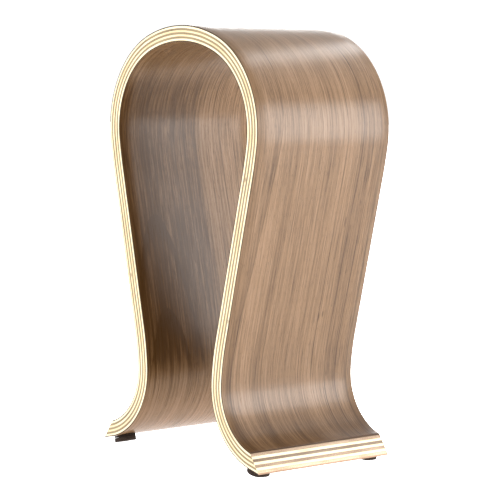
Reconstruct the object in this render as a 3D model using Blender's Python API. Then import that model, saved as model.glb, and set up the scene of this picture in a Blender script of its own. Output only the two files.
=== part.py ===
"""Headphone stand: one strip of laminated wood bent into a horseshoe, on four round stick-on pads.

Metres, +Z up. The origin is on the floor under the middle of the stand. X runs across the two feet and
Y through the depth of the strip, with the front at -Y. The strip is walnut veneer, seven birch plies laid
along and across in turn, and walnut veneer again. Every sheet follows the same outline at its own depth.
"""

import math

import bmesh
import bpy
from mathutils import Vector

# Overall
HEIGHT = 0.267
DEPTH = 0.106

# Lamination, from the outer face inwards
VENEER = 0.0006
PLY = 0.00115
PLY_COUNT = 7
GLUE_LINE = 0.0001
THICKNESS = 2 * VENEER + PLY_COUNT * PLY + (PLY_COUNT + 1) * GLUE_LINE

# Right half of the outer face, from the top of the crown to the end of the toe: a bend is a radius and a turn
# in degrees, and a run is a length. A positive turn curls down round the crown, a negative one flares the foot.
CROWN = ("bend", 0.092, 21.0)
SHOULDER = ("bend", 0.061, 77.5)
EASING = ("bend", 0.240, 4.5)
LEG = ("run", 0.1025, 0.0)
KNEE = ("bend", 0.147, -9.0)
FLARE = ("bend", 0.0375, -81.0)
TOE = ("run", 0.0087, 0.0)
OUTLINE = (CROWN, SHOULDER, EASING, LEG, KNEE, FLARE, TOE)
TOE_SLOPE = math.radians(sum(turn for _, _, turn in OUTLINE))
FACET_TURN = 4.0

# The end of each toe, all below TOE_TOP, is sawn off at a slant that leans in from the tip of the underside
END_LEAN = math.radians(34.5)
TOE_TOP = 0.030

# Pads stuck under the toes with tape, bent to the underside and worn flat where they meet the floor
DISC_RADIUS = 0.0068
TAPE = 0.0012
PAD = 0.0028
PAD_FROM_TIP = 0.0102
PAD_FROM_EDGE = 0.0091
DISC_SEGMENTS = 40
DISC_FOLDS = 7

WALNUT = (0.33, 0.20, 0.13, 1.0)
BIRCH_ALONG = (0.86, 0.72, 0.50, 1.0)
BIRCH_ACROSS = (0.48, 0.33, 0.19, 1.0)
TAPE_BROWN = (0.030, 0.016, 0.010, 1.0)
PAD_BROWN = (0.090, 0.062, 0.048, 1.0)
SHARP_EDGE = math.radians(30)


def clear_scene():
    for thing in list(bpy.data.objects):
        bpy.data.objects.remove(thing, do_unlink=True)


def make_material(name, colour, roughness):
    material = bpy.data.materials.new(name)
    material.use_nodes = True
    shader = material.node_tree.nodes["Principled BSDF"]
    shader.inputs["Base Color"].default_value = colour
    shader.inputs["Roughness"].default_value = roughness
    shader.inputs["Metallic"].default_value = 0.0
    return material


def heading_vector(heading):
    """Unit vector in X and Z for a heading measured downwards from +X."""
    return Vector((math.cos(heading), -math.sin(heading)))


def half_outline(depth):
    """(x, z) points from the top of the crown to the end of the toe, at this depth inside the outer face."""
    here = Vector((0.0, HEIGHT - depth))
    heading = 0.0
    points = [here.copy()]
    for kind, size, turn in OUTLINE:
        if kind == "run":
            here += size * heading_vector(heading)
            points.append(here.copy())
            continue
        steps = math.ceil(abs(turn) / FACET_TURN)
        step = math.radians(turn) / steps
        radius = size - math.copysign(depth, turn)
        chord = 2 * radius * math.sin(abs(step) / 2)
        for _ in range(steps):
            here += chord * heading_vector(heading + step / 2)
            heading += step
            points.append(here.copy())
    return points


def full_outline(depth):
    """(x, z) points from the end of the left toe, over the crown, to the end of the right toe."""
    right = half_outline(depth)
    left = [Vector((-x, z)) for x, z in reversed(right[1:])]
    return left + right


def toe_tip():
    """(x, z) of the lowest corner of the right toe, on the underside."""
    return half_outline(THICKNESS)[-1]


def under_toe(distance, drop):
    """(x, z) this far in from the tip along the underside of the right toe, and this far below it."""
    toe_run = TOE[1]
    slope = heading_vector(TOE_SLOPE)
    down = Vector((-math.sin(TOE_SLOPE), -math.cos(TOE_SLOPE)))
    if distance <= toe_run:
        return toe_tip() - distance * slope + drop * down
    radius = FLARE[1] + THICKNESS
    centre = toe_tip() - toe_run * slope - radius * down
    angle = TOE_SLOPE + (distance - toe_run) / radius
    return centre - (radius + drop) * Vector((math.sin(angle), math.cos(angle)))


def extrude_all(bm, offset):
    """Gives the flat sheet of faces a thickness."""
    extruded = bmesh.ops.extrude_face_region(bm, geom=bm.faces[:])
    moved = [item for item in extruded["geom"] if isinstance(item, bmesh.types.BMVert)]
    bmesh.ops.translate(bm, verts=moved, vec=offset)


def cut_away(bm, faces, point, outwards):
    """Removes what these faces have past a plane, and closes the opening that leaves."""
    edges = {edge for face in faces for edge in face.edges}
    verts = {vert for face in faces for vert in face.verts}
    geometry = [*faces, *edges, *verts]
    bmesh.ops.bisect_plane(bm, geom=geometry, plane_co=point, plane_no=outwards, clear_outer=True)
    open_edges = [edge for edge in bm.edges if edge.is_boundary]
    bmesh.ops.holes_fill(bm, edges=open_edges, sides=0)


def finish_mesh(bm, name, material):
    """Turns the bmesh into a mesh with its faces outwards, smooth apart from its corners."""
    bmesh.ops.recalc_face_normals(bm, faces=bm.faces[:])
    mesh = bpy.data.meshes.new(name)
    bm.to_mesh(mesh)
    bm.free()
    mesh.shade_smooth()
    mesh.set_sharp_from_angle(angle=SHARP_EDGE)
    mesh.materials.append(material)
    return mesh


def add_object(name, data, parent=None):
    thing = bpy.data.objects.new(name, data)
    bpy.context.scene.collection.objects.link(thing)
    thing.parent = parent
    return thing


def make_sheet(name, depth, thickness, material):
    """One bent sheet of the lamination, whose outer face lies at this depth."""
    bm = bmesh.new()
    outer = [bm.verts.new((x, -DEPTH / 2, z)) for x, z in full_outline(depth)]
    inner = [bm.verts.new((x, -DEPTH / 2, z)) for x, z in full_outline(depth + thickness)]
    for i in range(len(outer) - 1):
        bm.faces.new((outer[i], outer[i + 1], inner[i + 1], inner[i]))
    extrude_all(bm, (0.0, DEPTH, 0.0))
    tip_x, tip_z = toe_tip()
    for side in (-1, 1):
        outwards = (side * math.cos(END_LEAN), 0.0, math.sin(END_LEAN))
        centres = [(face, face.calc_center_median()) for face in bm.faces]
        toe = [face for face, centre in centres if side * centre.x > 0 and centre.z < TOE_TOP]
        cut_away(bm, toe, (side * tip_x, 0.0, tip_z), outwards)
    return finish_mesh(bm, name, material)


def make_lamination(stand):
    walnut = make_material("walnut_veneer", WALNUT, 0.45)
    along = make_material("birch_along", BIRCH_ALONG, 0.6)
    across = make_material("birch_across", BIRCH_ACROSS, 0.65)
    sheets = [("outer_veneer", VENEER, walnut)]
    for number in range(1, PLY_COUNT + 1):
        sheets.append((f"core_ply_{number}", PLY, along if number % 2 else across))
    sheets.append(("inner_veneer", VENEER, walnut))
    depth = 0.0
    for name, thickness, material in sheets:
        add_object(name, make_sheet(name, depth, thickness, material), stand)
        depth += thickness + GLUE_LINE


def make_disc(name, drop, thickness, side, origin, material):
    """A disc bent to the underside of one toe, with its top this far below the wood, in its own frame."""
    bm = bmesh.new()
    bmesh.ops.create_circle(bm, cap_ends=True, segments=DISC_SEGMENTS, radius=DISC_RADIUS)
    for fold in range(1, DISC_FOLDS + 1):
        x = DISC_RADIUS * (2 * fold / (DISC_FOLDS + 1) - 1)
        geometry = [*bm.verts, *bm.edges, *bm.faces]
        bmesh.ops.bisect_plane(bm, geom=geometry, plane_co=(x, 0, 0), plane_no=(1, 0, 0))
    extrude_all(bm, (0.0, 0.0, thickness))
    for vert in bm.verts:
        x, z = under_toe(PAD_FROM_TIP - vert.co.x, drop + vert.co.z)
        vert.co = Vector((side * x, vert.co.y, z)) - origin
    cut_away(bm, bm.faces[:], -origin, (0, 0, -1))
    return finish_mesh(bm, name, material)


def make_feet(stand):
    """A tape disc and a pad at each corner. The front and rear ones of a side share their mesh."""
    materials = {
        "tape": make_material("foam_tape", TAPE_BROWN, 0.9),
        "pad": make_material("felt_pad", PAD_BROWN, 0.95),
    }
    layers = (("tape", GLUE_LINE, TAPE), ("pad", TAPE + 2 * GLUE_LINE, PAD))
    rows = (("front", PAD_FROM_EDGE - DEPTH / 2), ("rear", DEPTH / 2 - PAD_FROM_EDGE))
    x, z = under_toe(PAD_FROM_TIP, 0.0)
    for side, side_name in ((-1, "left"), (1, "right")):
        origin = Vector((side * x, 0.0, z))
        for layer, drop, thickness in layers:
            mesh = make_disc(f"{layer}_{side_name}", drop, thickness, side, origin, materials[layer])
            for row, y in rows:
                disc = add_object(f"foot_{layer}_{row}_{side_name}", mesh, stand)
                disc.location = origin + Vector((0.0, y, 0.0))


def main():
    clear_scene()
    stand = add_object("stand", None)
    make_lamination(stand)
    make_feet(stand)


main()
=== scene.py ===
"""Looks of the headphone stand: a bent strip of walnut-faced birch plywood on four stick-on pads.

Every sheet of the lamination is built again as a fine swept mesh along the outline that the CAD sheets
follow, and each vertex carries its place in the flat strip (distance along it, distance across it, depth
into it), so that the wood materials can lay grain along the bend. Metres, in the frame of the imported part.
"""

import math

import bmesh
import bpy
from mathutils import Matrix, Vector


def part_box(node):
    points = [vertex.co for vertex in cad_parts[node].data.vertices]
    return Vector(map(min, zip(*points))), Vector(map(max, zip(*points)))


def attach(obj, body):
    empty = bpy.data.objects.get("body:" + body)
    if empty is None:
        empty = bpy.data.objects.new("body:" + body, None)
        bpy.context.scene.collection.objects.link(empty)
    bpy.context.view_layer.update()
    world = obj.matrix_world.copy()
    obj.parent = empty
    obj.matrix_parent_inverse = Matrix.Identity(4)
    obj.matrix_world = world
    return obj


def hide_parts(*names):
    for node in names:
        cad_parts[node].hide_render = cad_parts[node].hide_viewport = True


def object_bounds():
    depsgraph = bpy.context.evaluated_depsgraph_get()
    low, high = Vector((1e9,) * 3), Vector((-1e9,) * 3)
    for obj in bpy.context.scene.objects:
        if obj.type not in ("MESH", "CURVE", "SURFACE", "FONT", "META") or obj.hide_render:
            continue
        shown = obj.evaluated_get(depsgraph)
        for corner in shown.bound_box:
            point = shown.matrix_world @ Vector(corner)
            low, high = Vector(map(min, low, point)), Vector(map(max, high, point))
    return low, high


MM = 0.001

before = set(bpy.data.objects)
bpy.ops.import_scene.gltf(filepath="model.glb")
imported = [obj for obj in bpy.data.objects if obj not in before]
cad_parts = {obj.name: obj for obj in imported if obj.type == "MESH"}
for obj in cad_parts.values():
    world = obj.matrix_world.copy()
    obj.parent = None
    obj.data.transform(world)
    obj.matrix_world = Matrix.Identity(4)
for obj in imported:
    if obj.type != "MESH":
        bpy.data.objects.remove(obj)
CAD_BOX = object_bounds()
HEIGHT = CAD_BOX[1].z
DEPTH = CAD_BOX[1].y - CAD_BOX[0].y
TIP_X = CAD_BOX[1].x
TIP_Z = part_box("inner_veneer")[0].z

# Lamination, from the outer face inwards, as in the part
VENEER = 0.6 * MM
PLY = 1.15 * MM
PLY_COUNT = 7
GLUE_LINE = 0.1 * MM
THICKNESS = 2 * VENEER + PLY_COUNT * PLY + (PLY_COUNT + 1) * GLUE_LINE
SHEET_GAP = 0.01 * MM

# Right half of the outer face from the top of the crown to the end of the toe: (radius or length, turn)
CROWN = (0.092, math.radians(21.0))
SHOULDER = (0.061, math.radians(77.5))
EASING = (0.240, math.radians(4.5))
LEG = (0.1025, 0.0)
KNEE = (0.147, math.radians(-9.0))
FLARE = (0.0375, math.radians(-81.0))
TOE = (0.0087, 0.0)
OUTLINE = (CROWN, SHOULDER, EASING, LEG, KNEE, FLARE, TOE)
TOE_SLOPE = sum(turn for _, turn in OUTLINE)
END_LEAN = math.radians(34.5)

# How finely the sheets are divided
BEND_STEP = math.radians(1.5)
RUN_STEP = 4 * MM
TAIL_START = 0.285
TAIL_STEPS = 20
ACROSS_STEPS = 12

# Eased corners
EDGE_EASE = 0.22 * MM
GROOVE = 0.05 * MM
END_EASE = 0.12 * MM

# Pads
DISC_RADIUS = 6.8 * MM
TAPE = 1.2 * MM
PAD = 2.8 * MM
PAD_FROM_TIP = 10.2 * MM
PAD_FROM_EDGE = 9.1 * MM

# The warmer plies in the middle of the stack
WARM_PLIES = (3, 5)

# How light the end grain of the lengthwise plies is on the sawn ends
SAWN_SHADES = {1: 1.05, 3: 0.62, 5: 1.0, 7: 2.1}

# Small knots in the edges of the plies: ply number, and distances along the strip in millimetres
KNOTS = {5: (136.5,), 1: (223.0,), 3: (-203.5,)}

# Brightness of the studio
FLOOR_GLOW = 1.5
SURROUND_LOW = 1.4
SURROUND_HIGH = 1.0


def outline_length(pieces):
    return sum(size * abs(turn) if turn else size for size, turn in pieces)


STRIP_HALF = outline_length(OUTLINE)


# ---------------------------------------------------------------- the bent strip


def strip_point(along, depth):
    """(x, z) at this distance along the outer face from the top of the crown, and this deep under it."""
    x, z, heading = 0.0, HEIGHT, 0.0
    left = abs(along)
    for size, turn in OUTLINE:
        step = min(left, size * abs(turn) if turn else size)
        left -= step
        if turn:
            radius = math.copysign(size, turn)
            bent = heading + step / radius
            x += radius * (math.sin(bent) - math.sin(heading))
            z += radius * (math.cos(bent) - math.cos(heading))
            heading = bent
        else:
            x += step * math.cos(heading)
            z -= step * math.sin(heading)
    x -= depth * math.sin(heading)
    z -= depth * math.cos(heading)
    return math.copysign(x, along), z


def toe_end(depth):
    """Distance along the outer face at which the sawn plane cuts the strip at this depth."""
    low, high = TAIL_START, STRIP_HALF
    for _ in range(40):
        middle = (low + high) / 2
        x, z = strip_point(middle, depth)
        beyond = (x - TIP_X) * math.cos(END_LEAN) + (z - TIP_Z) * math.sin(END_LEAN)
        low, high = (low, middle) if beyond > 0 else (middle, high)
    return low


def fixed_stations():
    """Distances along the right half from the crown to where the tail starts, close together in the bends."""
    stations = [0.0]
    start = 0.0
    for size, turn in OUTLINE:
        length = size * abs(turn) if turn else size
        steps = math.ceil(abs(turn) / BEND_STEP) if turn else math.ceil(length / RUN_STEP)
        stations += [start + length * i / steps for i in range(1, steps + 1)]
        start += length
    return [s for s in stations if s < TAIL_START - RUN_STEP / 4]


def half_width(depth):
    """Half the strip's width at this depth, with the corners of both faces eased."""
    from_face = min(depth, THICKNESS - depth)
    if from_face >= EDGE_EASE:
        return DEPTH / 2
    return DEPTH / 2 - EDGE_EASE + math.sqrt(EDGE_EASE**2 - (EDGE_EASE - from_face) ** 2)


def edge_profile(top, bottom):
    """(half width, depth) down one edge of a sheet, with a fine groove at each glue line."""
    steps = 6 if min(top, THICKNESS - bottom) < EDGE_EASE else 2
    inner_top = top + GROOVE
    inner_bottom = bottom - GROOVE
    middle = [inner_top + (inner_bottom - inner_top) * i / steps for i in range(steps + 1)]
    profile = [(half_width(depth), depth) for depth in middle]
    first = (min(half_width(top), profile[0][0] - GROOVE), top)
    last = (min(half_width(bottom), profile[-1][0] - GROOVE), bottom)
    return [first, *profile, last]


def sheet_loop(top, bottom):
    """(y, depth) round the cross-section of a sheet."""
    edge = edge_profile(top, bottom)
    top_width = edge[0][0]
    bottom_width = edge[-1][0]
    inside = range(1, ACROSS_STEPS)
    over = [(top_width * (2 * i / ACROSS_STEPS - 1), top) for i in inside]
    under = [(bottom_width * (1 - 2 * i / ACROSS_STEPS), bottom) for i in inside]
    left = [(-width, depth) for width, depth in reversed(edge)]
    return [*over, *edge, *under, *left]


def shrunk(loop, top, bottom, by):
    """The loop drawn in by this much on all four sides."""
    low_y = min(y for y, _ in loop) + by
    return [(min(max(y, low_y), -low_y), min(max(depth, top + by), bottom - by)) for y, depth in loop]


def ring_along(side, share, depth, back):
    """Signed distance along the strip in the tail, from its start (share 0) to the sawn end (share 1)."""
    end = toe_end(depth) - back
    return side * (TAIL_START + (end - TAIL_START) * share)


def sheet_rings(top, bottom):
    """Rings of (along, y, depth) from the left toe over the crown to the right toe."""
    loop = sheet_loop(top, bottom)
    small = shrunk(loop, top, bottom, END_EASE)
    shares = [i / TAIL_STEPS for i in range(TAIL_STEPS + 1)]

    def tail(side):
        rings = [[(ring_along(side, t, d, END_EASE), y, d) for y, d in loop] for t in shares]
        rings.append([(ring_along(side, 1.0, d, 0.0), y, d) for y, d in small])
        return rings

    right = fixed_stations()
    middle = [-s for s in reversed(right[1:])] + right
    rings = list(reversed(tail(-1)))
    rings += [[(s, y, d) for y, d in loop] for s in middle]
    rings += tail(1)
    return rings


def make_object(bm, name, material, sharp=math.radians(35)):
    bmesh.ops.recalc_face_normals(bm, faces=bm.faces[:])
    mesh = bpy.data.meshes.new(name)
    bm.to_mesh(mesh)
    bm.free()
    mesh.shade_smooth()
    mesh.set_sharp_from_angle(angle=sharp)
    mesh.materials.append(material)
    thing = bpy.data.objects.new(name, mesh)
    bpy.context.scene.collection.objects.link(thing)
    return thing


def make_sheet(name, top, bottom, material):
    """One sheet of the lamination swept along the outline, closed at the sawn ends."""
    bm = bmesh.new()
    place = bm.verts.layers.float_vector.new("strip")
    rings = []
    for ring in sheet_rings(top, bottom):
        verts = []
        for along, y, depth in ring:
            x, z = strip_point(along, depth)
            vert = bm.verts.new((x, y, z))
            vert[place] = (along, y, depth)
            verts.append(vert)
        rings.append(verts)
    count = len(rings[0])
    for one, two in zip(rings, rings[1:]):
        for i in range(count):
            j = (i + 1) % count
            bm.faces.new((one[i], one[j], two[j], two[i]))
    bm.faces.new(rings[0])
    bm.faces.new(rings[-1])
    return make_object(bm, name, material)


# ---------------------------------------------------------------- pads


def under_toe(distance, drop):
    """(x, z) this far in from the tip along the underside of the right toe, and this far below it."""
    run = TOE[0]
    if distance <= run:
        x = TIP_X - distance * math.cos(TOE_SLOPE) - drop * math.sin(TOE_SLOPE)
        z = TIP_Z + distance * math.sin(TOE_SLOPE) - drop * math.cos(TOE_SLOPE)
        return x, z
    radius = FLARE[0] + THICKNESS
    centre_x = TIP_X - run * math.cos(TOE_SLOPE) + radius * math.sin(TOE_SLOPE)
    centre_z = TIP_Z + run * math.sin(TOE_SLOPE) + radius * math.cos(TOE_SLOPE)
    angle = TOE_SLOPE + (distance - run) / radius
    return centre_x - (radius + drop) * math.sin(angle), centre_z - (radius + drop) * math.cos(angle)


def disc_profile(thickness, rim):
    """(radius, drop) from the centre of the top face, round the rim, to the centre of the bottom face."""
    flat = DISC_RADIUS - rim
    corner = [math.radians(90 * i / 4) for i in range(5)]
    top = [(flat + rim * math.sin(a), rim * (1 - math.cos(a))) for a in corner]
    bottom = [(radius, thickness - drop) for radius, drop in reversed(top)]
    steps = [flat * i / 6 for i in range(1, 6)]
    over = [(radius, 0.0) for radius in steps]
    under = [(radius, thickness) for radius in reversed(steps)]
    return over + top + bottom + under


def make_disc(name, side, y, drop, thickness, rim, material, segments=56):
    """A round disc that follows the underside of the toe and is worn flat where it meets the floor."""
    bm = bmesh.new()
    place = bm.verts.layers.float_vector.new("strip")

    def add(radius, angle, below):
        along = radius * math.cos(angle)
        across = radius * math.sin(angle)
        x, z = under_toe(PAD_FROM_TIP - along, drop + below)
        vert = bm.verts.new((side * x, y + across, max(z, 0.0)))
        vert[place] = (along, across, below)
        return vert

    first = add(0.0, 0.0, 0.0)
    rings = []
    for radius, below in disc_profile(thickness, rim):
        angles = [2 * math.pi * i / segments for i in range(segments)]
        rings.append([add(radius, angle, below) for angle in angles])
    last = add(0.0, 0.0, thickness)
    for i in range(segments):
        j = (i + 1) % segments
        bm.faces.new((first, rings[0][i], rings[0][j]))
        bm.faces.new((last, rings[-1][j], rings[-1][i]))
        for one, two in zip(rings, rings[1:]):
            bm.faces.new((one[i], two[i], two[j], one[j]))
    return make_object(bm, name, material)


# ---------------------------------------------------------------- shader helpers


class Graph:
    """Short ways to add shader nodes to one new material."""

    def __init__(self, name):
        self.material = bpy.data.materials.new(name)
        self.material.use_nodes = True
        self.tree = self.material.node_tree
        self.shader = self.tree.nodes["Principled BSDF"]

    def feed(self, socket, value):
        if isinstance(value, bpy.types.NodeSocket):
            self.tree.links.new(value, socket)
        else:
            socket.default_value = value

    def node(self, kind, settings=None, **inputs):
        node = self.tree.nodes.new(kind)
        for key, value in (settings or {}).items():
            setattr(node, key, value)
        for key, value in inputs.items():
            self.feed(node.inputs[key], value)
        return node

    def math(self, operation, *values):
        node = self.tree.nodes.new("ShaderNodeMath")
        node.operation = operation
        for socket, value in zip(node.inputs, values):
            self.feed(socket, value)
        return node.outputs[0]

    def add(self, a, b):
        return self.math("ADD", a, b)

    def times(self, a, b):
        return self.math("MULTIPLY", a, b)

    def spread(self, value, low, high, new_low=0.0, new_high=1.0, smooth=True):
        """Value carried from low..high to new_low..new_high, and held at the ends."""
        node = self.tree.nodes.new("ShaderNodeMapRange")
        node.interpolation_type = "SMOOTHSTEP" if smooth else "LINEAR"
        for socket, number in zip(node.inputs, (value, low, high, new_low, new_high)):
            self.feed(socket, number)
        return node.outputs[0]

    def join(self, x, y, z=0.0):
        node = self.tree.nodes.new("ShaderNodeCombineXYZ")
        for socket, value in zip(node.inputs, (x, y, z)):
            self.feed(socket, value)
        return node.outputs[0]

    def noise(self, place, detail=2.0, roughness=0.5):
        """Noise of scale 1 at this place, from 0 to 1 with its middle near 0.5."""
        settings = {"noise_dimensions": "3D"}
        node = self.node("ShaderNodeTexNoise", settings, Vector=place)
        node.inputs["Scale"].default_value = 1.0
        node.inputs["Detail"].default_value = detail
        node.inputs["Roughness"].default_value = roughness
        return node.outputs["Fac"]

    def mix(self, factor, one, two):
        node = self.tree.nodes.new("ShaderNodeMix")
        node.data_type = "RGBA"
        self.feed(node.inputs["Factor"], factor)
        self.feed(node.inputs["A"], one)
        self.feed(node.inputs["B"], two)
        return node.outputs["Result"]

    def ramp(self, value, stops):
        node = self.tree.nodes.new("ShaderNodeValToRGB")
        self.feed(node.inputs["Fac"], value)
        elements = node.color_ramp.elements
        while len(elements) < len(stops):
            elements.new(0.5)
        for element, (position, colour) in zip(elements, stops):
            element.position = position
            element.color = colour
        return node.outputs["Color"]

    def strip(self):
        """Distance along, distance across from the front edge, and depth, all in millimetres."""
        place = self.node("ShaderNodeAttribute", {"attribute_name": "strip"})
        parts = self.node("ShaderNodeSeparateXYZ", Vector=place.outputs["Vector"])
        along = self.times(parts.outputs["X"], 1 / MM)
        across = self.math("MULTIPLY_ADD", parts.outputs["Y"], 1 / MM, DEPTH / 2 / MM)
        return along, across, self.times(parts.outputs["Z"], 1 / MM)

    def bump(self, height, strength, distance):
        node = self.node("ShaderNodeBump", Height=height)
        node.inputs["Strength"].default_value = strength
        node.inputs["Distance"].default_value = distance
        self.tree.links.new(node.outputs["Normal"], self.shader.inputs["Normal"])


def grey(value):
    return (value, value, value, 1.0)


# ---------------------------------------------------------------- walnut


# Length and width of each kind of fibre in the walnut, in millimetres
BAND_SIZE = (300.0, 11.0)
FINE_SIZE = (80.0, 1.5)
VEIN_SIZE = (55.0, 0.75)
CRACK_SIZE = (30.0, 0.6)
HAIR_SIZE = (24.0, 0.42)
DASH_SIZE = (10.0, 0.5)
PORE_SIZE = (5.0, 0.26)

# Half the length over which a line of the figure fades in or out, and the softness of a patch's sides
STREAK_FADE = 7.0
PATCH_FADE_ALONG = 10
PATCH_FADE_ACROSS = 5

# Depth in the veneer over which the colour of its face gives way to that of its cut edge, in millimetres
RIM_DEPTH = (0.02, 0.08)

# Where along the strip the growth rings fade out
RINGS_FADE = (250.0, 272.0)


def tones(mid):
    """Colour stops of oiled walnut, from a dark line to the palest fibres, round this middle red value.

    One stop: its place, its red as a share of the middle one, and its green and blue as shares of its red.
    """
    stops = ((0.0, 0.32, 0.43, 0.10), (0.25, 0.63, 0.50, 0.19), (0.5, 1.0, 0.56, 0.26),
             (0.75, 1.36, 0.585, 0.32), (1.0, 1.75, 0.61, 0.37))
    shades = [(place, mid * red, green, blue) for place, red, green, blue in stops]
    return [(place, (red, red * green, red * blue, 1.0)) for place, red, green, blue in shades]


def drifting(graph, along, across, seed, amount):
    """Across, pushed slowly to and fro by this many millimetres, so that no line runs dead straight."""
    slow = graph.join(graph.times(along, 1 / 110), graph.times(across, 1 / 45), seed)
    push = graph.math("MULTIPLY_ADD", graph.noise(slow, 1.0), 2 * amount, -amount)
    quick = graph.join(graph.times(along, 1 / 18), graph.times(across, 1 / 9), seed + 5)
    shiver = graph.math("MULTIPLY_ADD", graph.noise(quick, 1.0), 0.3 * amount, -0.15 * amount)
    return graph.add(across, graph.add(push, shiver))


def fibre(graph, along, across, size, seed, detail=1.0):
    """Noise drawn out along the grain into fibres of about this size: length and width, in millimetres."""
    length, width = size
    place = graph.join(graph.times(along, 1 / length), graph.times(across, 1 / width), seed)
    return graph.noise(place, detail)


def route(graph, along, stops):
    """Distance from the front edge that a line keeps as it passes through these (along, across) stops."""
    if len(stops) == 1:
        return stops[0][1]
    (start, first), (end, second) = stops[:2]
    where = graph.spread(along, start, end, first, second, smooth=False)
    for (start, first), (end, second) in zip(stops[1:], stops[2:]):
        where = graph.add(where, graph.spread(along, start, end, 0.0, second - first, smooth=False))
    return where


def streak(graph, along, across, line, seed):
    """Darkness of one line of the figure, which fades in and out at its ends and beats along its length."""
    stops, front, rear, strength, (start, end) = line
    offset = graph.math("SUBTRACT", across, route(graph, along, stops))
    before = graph.spread(offset, -front, 0.0)
    behind = graph.spread(offset, 0.0, rear, 1.0, 0.0)
    shape = graph.times(before, behind)
    if start is not None:
        shape = graph.times(shape, graph.spread(along, start - STREAK_FADE, start + STREAK_FADE))
    if end is not None:
        shape = graph.times(shape, graph.spread(along, end - STREAK_FADE, end + STREAK_FADE, 1.0, 0.0))
    beat = graph.noise(graph.join(graph.times(along, 1 / 30), seed, stops[0][1]), 2.0)
    return graph.times(shape, graph.spread(beat, 0.3, 0.6, 0.45 * strength, strength))


def fleck(graph, along, across, mark):
    """Darkness of one small oval mark."""
    place, aside, length, width, strength = mark
    down = graph.math("DIVIDE", graph.math("SUBTRACT", along, place), length)
    over = graph.math("DIVIDE", graph.math("SUBTRACT", across, aside), width)
    far = graph.math("SQRT", graph.add(graph.times(down, down), graph.times(over, over)))
    return graph.spread(far, 0.3, 1.0, strength, 0.0)


def patch(graph, along, across, area):
    """Strength of a soft-sided area, given by its ends along and its sides across."""
    start, end, near, far, strength = area
    rise = graph.spread(along, start - PATCH_FADE_ALONG, start + PATCH_FADE_ALONG)
    fall = graph.spread(along, end - PATCH_FADE_ALONG, end + PATCH_FADE_ALONG, 1.0, 0.0)
    front = graph.spread(across, near - PATCH_FADE_ACROSS, near + PATCH_FADE_ACROSS)
    rear = graph.spread(across, far - PATCH_FADE_ACROSS, far + PATCH_FADE_ACROSS, 1.0, 0.0)
    return graph.times(graph.times(graph.times(rise, fall), graph.times(front, rear)), strength)


def dashes(graph, along, across, area, seed):
    """Darkness of the short fuzzy dashes in one area."""
    marks = graph.spread(fibre(graph, along, across, DASH_SIZE, seed, 2.0), 0.53, 0.66)
    return graph.times(marks, patch(graph, along, across, area))


def long_edge(graph):
    """1 on the strip's two long edges, and 0 on its faces and sawn ends."""
    facing = graph.node("ShaderNodeNewGeometry").outputs["Normal"]
    parts = graph.node("ShaderNodeSeparateXYZ", Vector=facing)
    return graph.spread(graph.math("ABSOLUTE", parts.outputs["Y"]), 0.45, 0.75)


def rings(graph, along, grain, growth):
    """Growth rings of a sheet sliced near the pith: nested arches that open towards the foot."""
    axis, opening, first, spacing, strength = growth
    aside = graph.math("DIVIDE", graph.math("SUBTRACT", grain, axis), opening)
    behind = graph.math("SUBTRACT", along, graph.times(aside, aside))
    phase = graph.math("FRACT", graph.times(graph.math("SUBTRACT", behind, first - spacing), 1 / spacing))
    line = graph.add(graph.spread(phase, 0.0, 0.30, 1.0, 0.0), graph.spread(phase, 0.965, 1.0))
    reach = graph.spread(behind, first - 8.0, first - 4.0)
    shown = graph.times(reach, graph.spread(along, *RINGS_FADE, 1.0, 0.0))
    return graph.times(graph.times(line, shown), strength)


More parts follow.
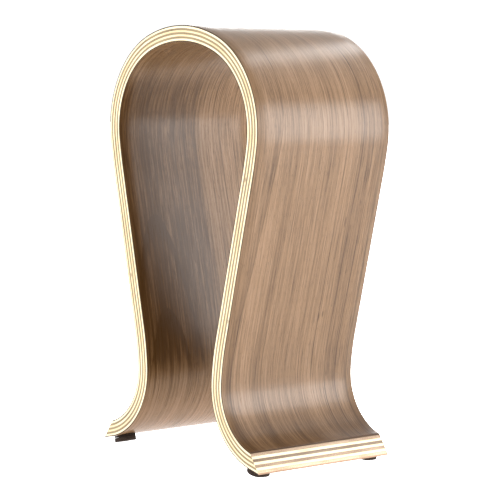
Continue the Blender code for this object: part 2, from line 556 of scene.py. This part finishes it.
def walnut(name, seed, figure, from_face):
    """A veneer with this figure. from_face turns depth in the strip into depth under the veneer's face."""
    graph = Graph(name)
    along, across, depth = graph.strip()
    along = graph.times(along, figure["side"])
    grain = drifting(graph, along, across, seed, figure["drift"])
    tone = graph.spread(fibre(graph, along, grain, BAND_SIZE, seed + 1, 2.0), 0.3, 0.7, 0.43, 0.57)
    fine = fibre(graph, along, grain, FINE_SIZE, seed + 2, 3.0)
    tone = graph.add(tone, graph.spread(fine, 0.3, 0.7, -figure["hair"], figure["hair"]))
    vein = fibre(graph, along, grain, VEIN_SIZE, seed + 6, 2.0)
    tone = graph.add(tone, graph.spread(vein, 0.55, 0.66, 0.0, -figure["veins"]))
    crack = fibre(graph, along, grain, CRACK_SIZE, seed + 7, 2.0)
    tone = graph.add(tone, graph.spread(crack, 0.62, 0.66, 0.0, -figure["cracks"]))
    hair = fibre(graph, along, grain, HAIR_SIZE, seed + 3, 3.0)
    tone = graph.add(tone, graph.spread(hair, 0.32, 0.70, figure["hair"], -1.3 * figure["hair"]))
    pore = graph.spread(fibre(graph, along, grain, PORE_SIZE, seed + 4), 0.60, 0.72)
    darkness = graph.times(pore, figure["pores"])
    for number, line in enumerate(figure["streaks"]):
        darkness = graph.add(darkness, streak(graph, along, grain, line, seed + 10 + number))
    for mark in figure["flecks"]:
        darkness = graph.add(darkness, fleck(graph, along, across, mark))
    for number, area in enumerate(figure["dashes"]):
        darkness = graph.add(darkness, dashes(graph, along, grain, area, seed + 40 + number))
    if figure["rings"]:
        darkness = graph.add(darkness, rings(graph, along, grain, figure["rings"]))
    tone = graph.math("SUBTRACT", tone, darkness)
    # Patches: besides the wood's own tone, some paint light and shade into the tone, as marked in the
    # figures.
    for area in figure["patches"]:
        tone = graph.add(tone, patch(graph, along, across, area))
    colour = graph.ramp(tone, tones(figure["tone"]))
    rim = graph.spread(from_face(graph, depth), *RIM_DEPTH)
    edge = graph.mix(long_edge(graph), (*figure["end_colour"], 1.0), (*figure["edge_colour"], 1.0))
    graph.feed(graph.shader.inputs["Base Color"], graph.mix(rim, colour, edge))
    gloss = figure["roughness"]
    graph.feed(graph.shader.inputs["Roughness"], graph.spread(hair, 0.3, 0.7, gloss - 0.04, gloss + 0.04))
    graph.shader.inputs["IOR"].default_value = figure["ior"]
    relief = graph.add(graph.times(pore, -1.0), graph.times(hair, 0.35))
    graph.bump(relief, 0.22, 0.03 * MM)
    return graph.material


# Figures of the two veneers, in millimetres from the crown and from the front edge.
# A streak: its (along, across) stops, how softly it ends on its front and rear sides, its strength, and where
# it starts and ends along the strip (None: it runs right through).
# A fleck: place along, place across, half length, half width, strength.
# Dashes and patches: ends along, sides across, strength. Dashes darken, and a patch adds to the tone. Some
# patches are the wood's own tone and some are painted light and painted shade, as marked at each.
# Rings: their axis across, how wide they open, where the first one starts, their spacing, their strength.
OUTER_FIGURE_AND_PAINTED_SHADING = {
    "side": 1,
    "drift": 0.5,
    "tone": 0.131,
    "hair": 0.11,
    "veins": 0.13,
    "cracks": 0.26,
    "pores": 0.30,
    "roughness": 0.32,
    "ior": 1.35,
    "rings": None,
    "edge_colour": (0.034, 0.014, 0.003),
    "end_colour": (0.035, 0.013, 0.002),
    "streaks": (
        (((50, 23), (90, 21), (150, 15), (190, 11.5), (220, 8.5), (262, 7)), 7.0, 0.5, 0.20, (46, None)),
        (((50, 23), (90, 21), (150, 15), (190, 11.5), (220, 8.5), (262, 7)), 0.9, 0.5, 0.16, (46, 275)),
        (((110, 33), (260, 27), (300, 28)), 5.5, 5.5, 0.17, (80, None)),
        (((50, 51.5),), 0.4, 0.6, 0.24, (46, 250)),
        (((50, 60),), 0.4, 0.6, 0.22, (120, 225)),
        (((50, 72), (262, 71.5)), 0.5, 1.0, 0.45, (58, 264)),
        (((50, 77),), 0.5, 0.5, 0.22, (170, 188)),
        (((60, 85.5), (135, 84.5), (282, 82.5)), 0.5, 1.0, 0.46, (50, None)),
        (((155, 93.5), (275, 91.3)), 0.5, 1.0, 0.46, (44, None)),
        (((60, 98),), 0.4, 0.6, 0.16, (60, 240)),
        (((200, 102), (307, 100)), 0.6, 1.4, 0.28, (110, None)),
    ),
    "flecks": ((164, 80.5, 5.0, 0.9, 0.35), (225, 72, 4.0, 1.0, 0.40), (223.5, 75, 3.0, 0.9, 0.35)),
    "dashes": ((66, 140, 9, 26, 0.22), (60, 270, 84, 120, 0.16), (60, 270, 40, 60, 0.07)),
    # Patches: the first lightens a band behind the long dark streak and the second darkens the band along the
    # rear edge. The third, from 290 mm to the toe's end, is painted shade where the leg shades the toe.
    "patches": ((150, 290, 10, 24, 0.05), (-400, 400, 84, 120, -0.09), (290, 400, -20, 130, -0.20),
                # This patch, from 26 to 84 mm, is a painted pool of light on the crown, where light falls
                # from above.
                (26, 84, -20, 130, 0.07)),
}
INNER_FIGURE_AND_PAINTED_SHADING = {
    "side": -1,
    "drift": 1.0,
    "tone": 0.142,
    "hair": 0.15,
    "veins": 0.16,
    "cracks": 0.26,
    "pores": 0.34,
    "roughness": 0.30,
    "ior": 1.27,
    "rings": (19.5, 2.75, 168.0, 60.0, 0.36),
    "edge_colour": (0.034, 0.014, 0.003),
    "end_colour": (0.34, 0.22, 0.145),
    "streaks": (
        (((50, 5),), 0.4, 0.8, 0.2, (None, 80)),
        (((50, 10),), 0.4, 0.8, 0.2, (None, 78)),
        (((50, 18),), 0.4, 0.8, 0.2, (None, 78)),
        (((90, 50), (185, 52)), 0.8, 2.0, 0.3, (90, 185)),
        (((90, 72), (170, 73)), 0.5, 0.9, 0.3, (60, 200)),
        (((90, 76), (170, 77)), 0.4, 0.7, 0.24, (70, 180)),
        (((90, 80), (170, 81.5)), 0.5, 0.9, 0.28, (60, 230)),
        (((90, 92),), 0.5, 0.9, 0.2, (40, 260)),
    ),
    "flecks": (),
    "dashes": ((98, 218, 18, 60, 0.26), (98, 250, 64, 120, 0.12)),
    "patches": (
        # These three patches darken the front of the inner face down the leg. They are partly the wood's own
        # tone and partly painted shadow cast by the other leg.
        (70, 262, -20, 64, -0.25),
        (165, 262, -20, 52, -0.10),
        (70, 262, -20, 24, -0.06),
        # This patch lightens the band along the rear edge. It is partly the wood's own tone and partly
        # painted light reaching it behind the other leg.
        (-400, 262, 84, 130, 0.06),
        # This patch, from 277 mm on, is painted light: the floor's bounce on the inner face of the foot.
        (277, 400, -20, 130, 0.18),
    ),
}


# ---------------------------------------------------------------- birch


# Half length, half width and strength of a knot
KNOT_SHAPE = (2.2, 0.7, 0.75)
KNOT_COLOUR = (0.16, 0.085, 0.04, 1.0)
GLUE_COLOUR = (0.22, 0.15, 0.07, 1.0)


def glue_shade(graph, depth, top, bottom):
    """1 in the body of a ply, falling where its edge meets the glue."""
    from_top = graph.spread(graph.math("SUBTRACT", depth, top / MM), 0.0, 0.08)
    from_bottom = graph.spread(graph.math("SUBTRACT", bottom / MM, depth), 0.0, 0.08)
    return graph.math("MINIMUM", from_top, from_bottom)


def coloured(stops):
    return [(place, (*colour, 1.0)) for place, colour in stops]


LONG_SIDE_TONES = coloured(((0.0, (0.70, 0.52, 0.30)), (0.35, (0.80, 0.68, 0.44)), (1.0, (0.86, 0.77, 0.52))))
LONG_WARM_TONES = coloured(((0.0, (0.60, 0.39, 0.19)), (0.45, (0.75, 0.58, 0.34)), (1.0, (0.85, 0.74, 0.51))))
LONG_END_TONES = coloured(
    ((0.0, (0.14, 0.095, 0.045)), (0.5, (0.22, 0.16, 0.08)), (1.0, (0.32, 0.24, 0.125)))
)
SAWN_SIDE_TONES = coloured(((0.0, (0.58, 0.43, 0.25)), (0.35, (0.68, 0.58, 0.38)), (1.0, (0.75, 0.68, 0.49))))


def sawn_end_tones(shade):
    """End grain of a lengthwise ply on the sawn ends, this many times as light as the plain tones."""
    stops = ((0.0, (0.17, 0.105, 0.06)), (0.5, (0.27, 0.185, 0.12)), (1.0, (0.38, 0.280, 0.19)))
    return coloured([(place, [part * shade for part in colour]) for place, colour in stops])


def birch(name, number, top, bottom):
    """A ply's edges: side grain shows long fibres, end grain shows short dark vessels."""
    graph = Graph(name)
    along, across, depth = graph.strip()
    seed = 7.0 * number
    on_edge = long_edge(graph)
    lengthwise = graph.mix(on_edge, graph.join(across, 0.0, 0.0), graph.join(along, 0.0, 0.0))
    run = graph.node("ShaderNodeSeparateXYZ", Vector=lengthwise).outputs["X"]
    long_fibres = graph.noise(graph.join(graph.times(run, 1 / 14), graph.times(depth, 1 / 0.22), seed), 2.0)
    patches = graph.noise(graph.join(graph.times(run, 1 / 26), graph.times(depth, 1 / 3), seed + 1), 2.0)
    side = graph.add(graph.times(long_fibres, 0.45), graph.times(patches, 0.55))
    vessels = graph.noise(graph.join(graph.times(run, 1 / 0.5), graph.times(depth, 1 / 0.4), seed + 2), 1.0)
    end = graph.add(graph.times(vessels, 0.5), graph.times(patches, 0.5))
    side_share = graph.spread(side, 0.3, 0.7)
    end_share = graph.spread(end, 0.3, 0.7)
    if number % 2:
        long_tones = LONG_WARM_TONES if number in WARM_PLIES else LONG_SIDE_TONES
        sawn = graph.ramp(end_share, sawn_end_tones(SAWN_SHADES[number]))
        colour = graph.mix(on_edge, sawn, graph.ramp(side_share, long_tones))
    else:
        sawn = graph.ramp(side_share, SAWN_SIDE_TONES)
        colour = graph.mix(on_edge, sawn, graph.ramp(end_share, LONG_END_TONES))
    for place in KNOTS.get(number, ()):
        knot = fleck(graph, along, depth, (place, (top + bottom) / 2 / MM, *KNOT_SHAPE))
        colour = graph.mix(graph.times(knot, on_edge), colour, KNOT_COLOUR)
    clean = glue_shade(graph, depth, top, bottom)
    colour = graph.mix(clean, GLUE_COLOUR, colour)
    graph.feed(graph.shader.inputs["Base Color"], colour)
    graph.feed(graph.shader.inputs["Roughness"], graph.spread(side, 0.3, 0.7, 0.5, 0.62))
    relief = graph.add(graph.times(vessels, 0.5), graph.times(long_fibres, 0.5))
    graph.bump(relief, 0.3, 0.05 * MM)
    return graph.material


# ---------------------------------------------------------------- pads and tape


def foam(name, dark, light, cell, roughness, seed):
    """Foam tape or felt: a mottled, fibrous dark brown."""
    graph = Graph(name)
    place = graph.node("ShaderNodeAttribute", {"attribute_name": "strip"}).outputs["Vector"]
    scaled = graph.node("ShaderNodeVectorMath", {"operation": "SCALE"}, Vector=place)
    scaled.inputs["Scale"].default_value = 1 / cell
    shifted = graph.node("ShaderNodeVectorMath", {"operation": "ADD"})
    graph.feed(shifted.inputs[0], scaled.outputs["Vector"])
    graph.feed(shifted.inputs[1], (seed, seed, seed))
    cells = graph.noise(shifted.outputs["Vector"], 3.0, 0.6)
    colour = graph.ramp(graph.spread(cells, 0.3, 0.7), ((0.0, dark), (1.0, light)))
    graph.feed(graph.shader.inputs["Base Color"], colour)
    graph.feed(graph.shader.inputs["Roughness"], graph.spread(cells, 0.3, 0.7, roughness - 0.1, roughness))
    graph.shader.inputs["IOR"].default_value = 1.25
    graph.bump(cells, 0.6, 0.12 * MM)
    return graph.material


# ---------------------------------------------------------------- the pieces


def stand_for(piece, node):
    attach(piece, "root")
    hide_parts(node)


def under_outer_face(graph, depth):
    return depth


def under_inner_face(graph, depth):
    return graph.math("SUBTRACT", THICKNESS / MM, depth)


def build_lamination():
    outer = walnut("walnut_outer", 3.0, OUTER_FIGURE_AND_PAINTED_SHADING, under_outer_face)
    inner = walnut("walnut_inner", 41.0, INNER_FIGURE_AND_PAINTED_SHADING, under_inner_face)
    grow = GLUE_LINE / 2 - SHEET_GAP
    depth = 0.0
    sheet = make_sheet("outer_veneer_finish", depth, VENEER + grow, outer)
    stand_for(sheet, "outer_veneer")
    depth += VENEER + GLUE_LINE
    for number in range(1, PLY_COUNT + 1):
        top = depth - grow
        bottom = depth + PLY + grow
        grain = "birch_along" if number % 2 else "birch_across"
        wood = birch(f"{grain}_{number}", number, top, bottom)
        sheet = make_sheet(f"core_ply_{number}_finish", top, bottom, wood)
        stand_for(sheet, f"core_ply_{number}")
        depth += PLY + GLUE_LINE
    sheet = make_sheet("inner_veneer_finish", depth - grow, THICKNESS, inner)
    stand_for(sheet, "inner_veneer")


def build_feet():
    tape = foam("foam_tape_brown", (0.008, 0.004, 0.003, 1.0), (0.020, 0.012, 0.008, 1.0), 0.5 * MM, 0.8, 3.0)
    felt = foam("felt_brown", (0.012, 0.008, 0.006, 1.0), (0.045, 0.030, 0.023, 1.0), 0.35 * MM, 0.95, 9.0)
    rows = (("front", PAD_FROM_EDGE - DEPTH / 2), ("rear", DEPTH / 2 - PAD_FROM_EDGE))
    for side, side_name in ((-1, "left"), (1, "right")):
        for row, y in rows:
            corner = f"{row}_{side_name}"
            disc = make_disc(f"foot_tape_{corner}_finish", side, y, GLUE_LINE, TAPE, 0.25 * MM, tape)
            stand_for(disc, f"foot_tape_{corner}")
            disc = make_disc(f"foot_pad_{corner}_finish", side, y, TAPE + 2 * GLUE_LINE, PAD, 0.45 * MM, felt)
            stand_for(disc, f"foot_pad_{corner}")


# ---------------------------------------------------------------- studio


def plain_material(name, colour, roughness, glow):
    material = bpy.data.materials.new(name)
    material.use_nodes = True
    shader = material.node_tree.nodes["Principled BSDF"]
    shader.inputs["Base Color"].default_value = colour
    shader.inputs["Roughness"].default_value = roughness
    shader.inputs["Emission Color"].default_value = (1.0, 1.0, 1.0, 1.0)
    shader.inputs["Emission Strength"].default_value = glow
    return material


def build_floor():
    bm = bmesh.new()
    bmesh.ops.create_circle(bm, cap_ends=True, segments=96, radius=6.0)
    floor = make_object(bm, "studio_floor", plain_material("studio_white", grey(0.8), 0.6, FLOOR_GLOW))


def add_softbox(name, place, target, upright, width, height, radiance):
    """A rectangular light of this brightness at place, facing target, with its height along upright."""
    light = bpy.data.lights.new(name, "AREA")
    light.shape = "RECTANGLE"
    light.size = width
    light.size_y = height
    light.energy = radiance * math.pi * width * height
    box = bpy.data.objects.new(name, light)
    back = (Vector(place) - Vector(target)).normalized()
    right = Vector(upright).cross(back).normalized()
    up = back.cross(right)
    turn = Matrix((right, up, back)).transposed().to_4x4()
    turn.translation = place
    box.matrix_world = turn
    box.visible_camera = False
    bpy.context.scene.collection.objects.link(box)


def build_world():
    """A white surround for the camera; for the object, bright near the horizon and dimmer overhead."""
    world = bpy.data.worlds.new("studio")
    world.use_nodes = True
    nodes = world.node_tree.nodes
    links = world.node_tree.links
    background = nodes["Background"]
    path = nodes.new("ShaderNodeLightPath")
    direction = nodes.new("ShaderNodeTexCoord")
    parts = nodes.new("ShaderNodeSeparateXYZ")
    links.new(direction.outputs["Generated"], parts.inputs["Vector"])
    height = nodes.new("ShaderNodeMapRange")
    for socket, value in zip(list(height.inputs)[1:5], (0.0, 0.6, SURROUND_LOW, SURROUND_HIGH)):
        socket.default_value = value
    links.new(parts.outputs["Z"], height.inputs["Value"])
    mix = nodes.new("ShaderNodeMix")
    mix.data_type = "RGBA"
    mix.inputs["B"].default_value = grey(1.1)
    links.new(height.outputs["Result"], mix.inputs["A"])
    links.new(path.outputs["Is Camera Ray"], mix.inputs["Factor"])
    links.new(mix.outputs["Result"], background.inputs["Color"])
    bpy.context.scene.world = world


def build_lights():
    """Softboxes whose reflections are the highlights on the bends."""
    middle = (0.0, 0.0, 0.13)
    crown = (0.0, 0.0, 0.26)
    upright = (0.0, 0.0, 1.0)
    add_softbox("side_softbox", (0.585, 0.49, 0.28), middle, upright, 0.30, 0.42, 12.5)
    add_softbox("right_softbox", (1.10, 0.38, 0.35), middle, upright, 0.26, 0.50, 10.0)
    add_softbox("front_softbox", (-0.45, -1.20, 0.22), middle, upright, 0.90, 0.40, 3.0)
    add_softbox("horizon_softbox", (-3.05, 2.60, 0.98), crown, upright, 4.2, 0.85, 8.0)
    shoulder = (0.052, 0.0, 0.248)
    add_softbox("high_softbox", (0.52, 1.10, 1.25), shoulder, (0.51, 0.0, -0.26), 0.60, 0.95, 2.0)
    add_softbox("rear_softbox", (0.005, 0.295, 0.570), shoulder, (-0.11, 0.10, -0.015), 0.07, 0.36, 7.0)


def build_camera():
    data = bpy.data.cameras.new("camera")
    data.lens = 154.0
    data.sensor_width = 36.0
    camera = bpy.data.objects.new("camera", data)
    camera.location = (1.0205, -0.8619, 0.2531)
    yaw, pitch, roll = (math.radians(a) for a in (49.709, 5.375, 0.659))
    forward = Vector((-math.sin(yaw) * math.cos(pitch), math.cos(yaw) * math.cos(pitch), -math.sin(pitch)))
    level = Vector((math.cos(yaw), math.sin(yaw), 0.0))
    over = level.cross(forward)
    right = math.cos(roll) * level + math.sin(roll) * over
    up = math.cos(roll) * over - math.sin(roll) * level
    turn = camera.matrix_world.copy()
    for row in range(3):
        turn[row][0] = right[row]
        turn[row][1] = up[row]
        turn[row][2] = -forward[row]
        turn[row][3] = camera.location[row]
    camera.matrix_world = turn
    bpy.context.scene.collection.objects.link(camera)
    bpy.context.scene.camera = camera


build_camera()
build_lamination()
build_feet()
build_floor()
build_world()
build_lights()
bpy.context.scene.view_settings.view_transform = "Standard"
